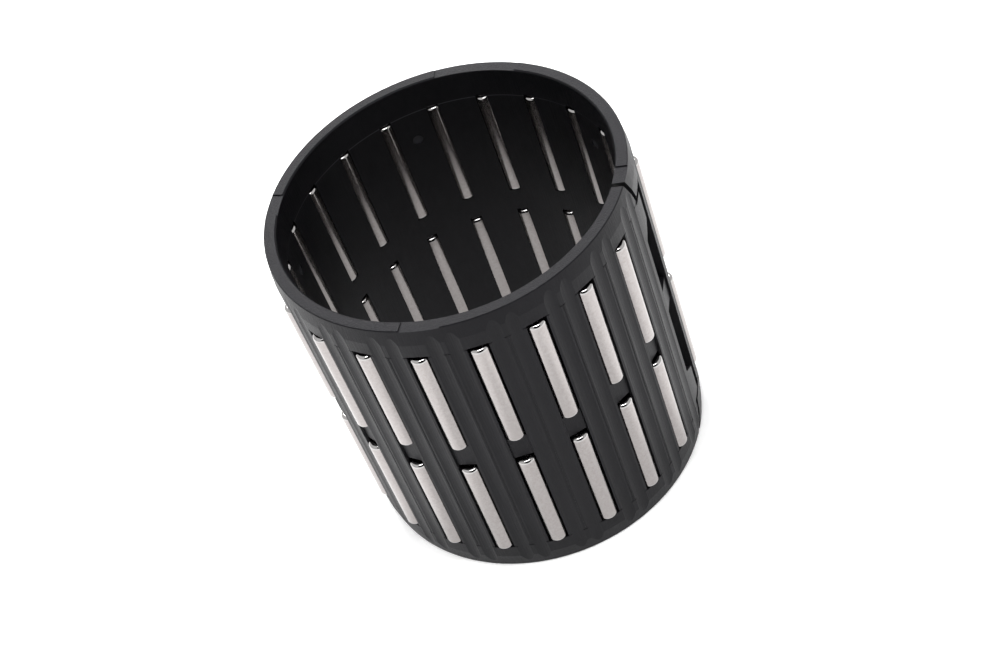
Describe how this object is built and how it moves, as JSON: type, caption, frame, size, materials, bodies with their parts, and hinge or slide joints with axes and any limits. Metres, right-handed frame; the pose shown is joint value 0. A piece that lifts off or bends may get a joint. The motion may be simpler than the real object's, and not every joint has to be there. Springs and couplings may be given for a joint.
{
  "type": "needle roller bearing cage assembly",
  "caption": "Split plastic cage carrying two rows of loose steel needle rollers, for a shaft and housing that serve as the raceways.",
  "frame": {"origin": "centre of the bore, halfway between the two end faces", "axes": "+Z along the bearing axis towards the end face with the sunk marking pads, +X through the middle of the roller column that the split takes the place of"},
  "size_m": [0.0466, 0.047, 0.0466],
  "materials": {
    "cage": "fine moulded satin, glass-filled polyamide",
    "roller": "ground and tumbled bearing steel"
  },
  "bodies": {
    "cage": {"cage": "cage"},
    "roller_upper_01": {"roller_upper_01": "roller"},
    "roller_upper_02": {"roller_upper_02": "roller"},
    "roller_upper_03": {"roller_upper_03": "roller"},
    "roller_upper_04": {"roller_upper_04": "roller"},
    "roller_upper_05": {"roller_upper_05": "roller"},
    "roller_upper_06": {"roller_upper_06": "roller"},
    "roller_upper_07": {"roller_upper_07": "roller"},
    "roller_upper_08": {"roller_upper_08": "roller"},
    "roller_upper_09": {"roller_upper_09": "roller"},
    "roller_upper_10": {"roller_upper_10": "roller"},
    "roller_upper_11": {"roller_upper_11": "roller"},
    "roller_upper_12": {"roller_upper_12": "roller"},
    "roller_upper_13": {"roller_upper_13": "roller"},
    "roller_upper_14": {"roller_upper_14": "roller"},
    "roller_upper_15": {"roller_upper_15": "roller"},
    "roller_upper_16": {"roller_upper_16": "roller"},
    "roller_upper_17": {"roller_upper_17": "roller"},
    "roller_upper_18": {"roller_upper_18": "roller"},
    "roller_upper_19": {"roller_upper_19": "roller"},
    "roller_lower_01": {"roller_lower_01": "roller"},
    "roller_lower_02": {"roller_lower_02": "roller"},
    "roller_lower_03": {"roller_lower_03": "roller"},
    "roller_lower_04": {"roller_lower_04": "roller"},
    "roller_lower_05": {"roller_lower_05": "roller"},
    "roller_lower_06": {"roller_lower_06": "roller"},
    "roller_lower_07": {"roller_lower_07": "roller"},
    "roller_lower_08": {"roller_lower_08": "roller"},
    "roller_lower_09": {"roller_lower_09": "roller"},
    "roller_lower_10": {"roller_lower_10": "roller"},
    "roller_lower_11": {"roller_lower_11": "roller"},
    "roller_lower_12": {"roller_lower_12": "roller"},
    "roller_lower_13": {"roller_lower_13": "roller"},
    "roller_lower_14": {"roller_lower_14": "roller"},
    "roller_lower_15": {"roller_lower_15": "roller"},
    "roller_lower_16": {"roller_lower_16": "roller"},
    "roller_lower_17": {"roller_lower_17": "roller"},
    "roller_lower_18": {"roller_lower_18": "roller"},
    "roller_lower_19": {"roller_lower_19": "roller"}
  },
  "joints": [
    {"name": "roller_upper_01_spin", "type": "hinge", "parent": "cage", "child": "roller_upper_01", "pos_m": [0.02116, 0.00688, 0.01027], "axis": [0, 0, 1], "continuous": true},
    {"name": "roller_upper_02_spin", "type": "hinge", "parent": "cage", "child": "roller_upper_02", "pos_m": [0.018, 0.01308, 0.01027], "axis": [0, 0, 1], "continuous": true},
    {"name": "roller_upper_03_spin", "type": "hinge", "parent": "cage", "child": "roller_upper_03", "pos_m": [0.01308, 0.018, 0.01027], "axis": [0, 0, 1], "continuous": true},
    {"name": "roller_upper_04_spin", "type": "hinge", "parent": "cage", "child": "roller_upper_04", "pos_m": [0.00688, 0.02116, 0.01027], "axis": [0, 0, 1], "continuous": true},
    {"name": "roller_upper_05_spin", "type": "hinge", "parent": "cage", "child": "roller_upper_05", "pos_m": [0, 0.02225, 0.01027], "axis": [0, 0, 1], "continuous": true},
    {"name": "roller_upper_06_spin", "type": "hinge", "parent": "cage", "child": "roller_upper_06", "pos_m": [-0.00688, 0.02116, 0.01027], "axis": [0, 0, 1], "continuous": true},
    {"name": "roller_upper_07_spin", "type": "hinge", "parent": "cage", "child": "roller_upper_07", "pos_m": [-0.01308, 0.018, 0.01027], "axis": [0, 0, 1], "continuous": true},
    {"name": "roller_upper_08_spin", "type": "hinge", "parent": "cage", "child": "roller_upper_08", "pos_m": [-0.018, 0.01308, 0.01027], "axis": [0, 0, 1], "continuous": true},
    {"name": "roller_upper_09_spin", "type": "hinge", "parent": "cage", "child": "roller_upper_09", "pos_m": [-0.02116, 0.00688, 0.01027], "axis": [0, 0, 1], "continuous": true},
    {"name": "roller_upper_10_spin", "type": "hinge", "parent": "cage", "child": "roller_upper_10", "pos_m": [-0.02225, 0, 0.01027], "axis": [0, 0, 1], "continuous": true},
    {"name": "roller_upper_11_spin", "type": "hinge", "parent": "cage", "child": "roller_upper_11", "pos_m": [-0.02116, -0.00688, 0.01027], "axis": [0, 0, 1], "continuous": true},
    {"name": "roller_upper_12_spin", "type": "hinge", "parent": "cage", "child": "roller_upper_12", "pos_m": [-0.018, -0.01308, 0.01027], "axis": [0, 0, 1], "continuous": true},
    {"name": "roller_upper_13_spin", "type": "hinge", "parent": "cage", "child": "roller_upper_13", "pos_m": [-0.01308, -0.018, 0.01027], "axis": [0, 0, 1], "continuous": true},
    {"name": "roller_upper_14_spin", "type": "hinge", "parent": "cage", "child": "roller_upper_14", "pos_m": [-0.00688, -0.02116, 0.01027], "axis": [0, 0, 1], "continuous": true},
    {"name": "roller_upper_15_spin", "type": "hinge", "parent": "cage", "child": "roller_upper_15", "pos_m": [0, -0.02225, 0.01027], "axis": [0, 0, 1], "continuous": true},
    {"name": "roller_upper_16_spin", "type": "hinge", "parent": "cage", "child": "roller_upper_16", "pos_m": [0.00688, -0.02116, 0.01027], "axis": [0, 0, 1], "continuous": true},
    {"name": "roller_upper_17_spin", "type": "hinge", "parent": "cage", "child": "roller_upper_17", "pos_m": [0.01308, -0.018, 0.01027], "axis": [0, 0, 1], "continuous": true},
    {"name": "roller_upper_18_spin", "type": "hinge", "parent": "cage", "child": "roller_upper_18", "pos_m": [0.018, -0.01308, 0.01027], "axis": [0, 0, 1], "continuous": true},
    {"name": "roller_upper_19_spin", "type": "hinge", "parent": "cage", "child": "roller_upper_19", "pos_m": [0.02116, -0.00688, 0.01027], "axis": [0, 0, 1], "continuous": true},
    {"name": "roller_lower_01_spin", "type": "hinge", "parent": "cage", "child": "roller_lower_01", "pos_m": [0.02116, 0.00688, -0.01063], "axis": [0, 0, 1], "continuous": true},
    {"name": "roller_lower_02_spin", "type": "hinge", "parent": "cage", "child": "roller_lower_02", "pos_m": [0.018, 0.01308, -0.01063], "axis": [0, 0, 1], "continuous": true},
    {"name": "roller_lower_03_spin", "type": "hinge", "parent": "cage", "child": "roller_lower_03", "pos_m": [0.01308, 0.018, -0.01063], "axis": [0, 0, 1], "continuous": true},
    {"name": "roller_lower_04_spin", "type": "hinge", "parent": "cage", "child": "roller_lower_04", "pos_m": [0.00688, 0.02116, -0.01063], "axis": [0, 0, 1], "continuous": true},
    {"name": "roller_lower_05_spin", "type": "hinge", "parent": "cage", "child": "roller_lower_05", "pos_m": [0, 0.02225, -0.01063], "axis": [0, 0, 1], "continuous": true},
    {"name": "roller_lower_06_spin", "type": "hinge", "parent": "cage", "child": "roller_lower_06", "pos_m": [-0.00688, 0.02116, -0.01063], "axis": [0, 0, 1], "continuous": true},
    {"name": "roller_lower_07_spin", "type": "hinge", "parent": "cage", "child": "roller_lower_07", "pos_m": [-0.01308, 0.018, -0.01063], "axis": [0, 0, 1], "continuous": true},
    {"name": "roller_lower_08_spin", "type": "hinge", "parent": "cage", "child": "roller_lower_08", "pos_m": [-0.018, 0.01308, -0.01063], "axis": [0, 0, 1], "continuous": true},
    {"name": "roller_lower_09_spin", "type": "hinge", "parent": "cage", "child": "roller_lower_09", "pos_m": [-0.02116, 0.00688, -0.01063], "axis": [0, 0, 1], "continuous": true},
    {"name": "roller_lower_10_spin", "type": "hinge", "parent": "cage", "child": "roller_lower_10", "pos_m": [-0.02225, 0, -0.01063], "axis": [0, 0, 1], "continuous": true},
    {"name": "roller_lower_11_spin", "type": "hinge", "parent": "cage", "child": "roller_lower_11", "pos_m": [-0.02116, -0.00688, -0.01063], "axis": [0, 0, 1], "continuous": true},
    {"name": "roller_lower_12_spin", "type": "hinge", "parent": "cage", "child": "roller_lower_12", "pos_m": [-0.018, -0.01308, -0.01063], "axis": [0, 0, 1], "continuous": true},
    {"name": "roller_lower_13_spin", "type": "hinge", "parent": "cage", "child": "roller_lower_13", "pos_m": [-0.01308, -0.018, -0.01063], "axis": [0, 0, 1], "continuous": true},
    {"name": "roller_lower_14_spin", "type": "hinge", "parent": "cage", "child": "roller_lower_14", "pos_m": [-0.00688, -0.02116, -0.01063], "axis": [0, 0, 1], "continuous": true},
    {"name": "roller_lower_15_spin", "type": "hinge", "parent": "cage", "child": "roller_lower_15", "pos_m": [0, -0.02225, -0.01063], "axis": [0, 0, 1], "continuous": true},
    {"name": "roller_lower_16_spin", "type": "hinge", "parent": "cage", "child": "roller_lower_16", "pos_m": [0.00688, -0.02116, -0.01063], "axis": [0, 0, 1], "continuous": true},
    {"name": "roller_lower_17_spin", "type": "hinge", "parent": "cage", "child": "roller_lower_17", "pos_m": [0.01308, -0.018, -0.01063], "axis": [0, 0, 1], "continuous": true},
    {"name": "roller_lower_18_spin", "type": "hinge", "parent": "cage", "child": "roller_lower_18", "pos_m": [0.018, -0.01308, -0.01063], "axis": [0, 0, 1], "continuous": true},
    {"name": "roller_lower_19_spin", "type": "hinge", "parent": "cage", "child": "roller_lower_19", "pos_m": [0.02116, -0.00688, -0.01063], "axis": [0, 0, 1], "continuous": true}
  ]
}
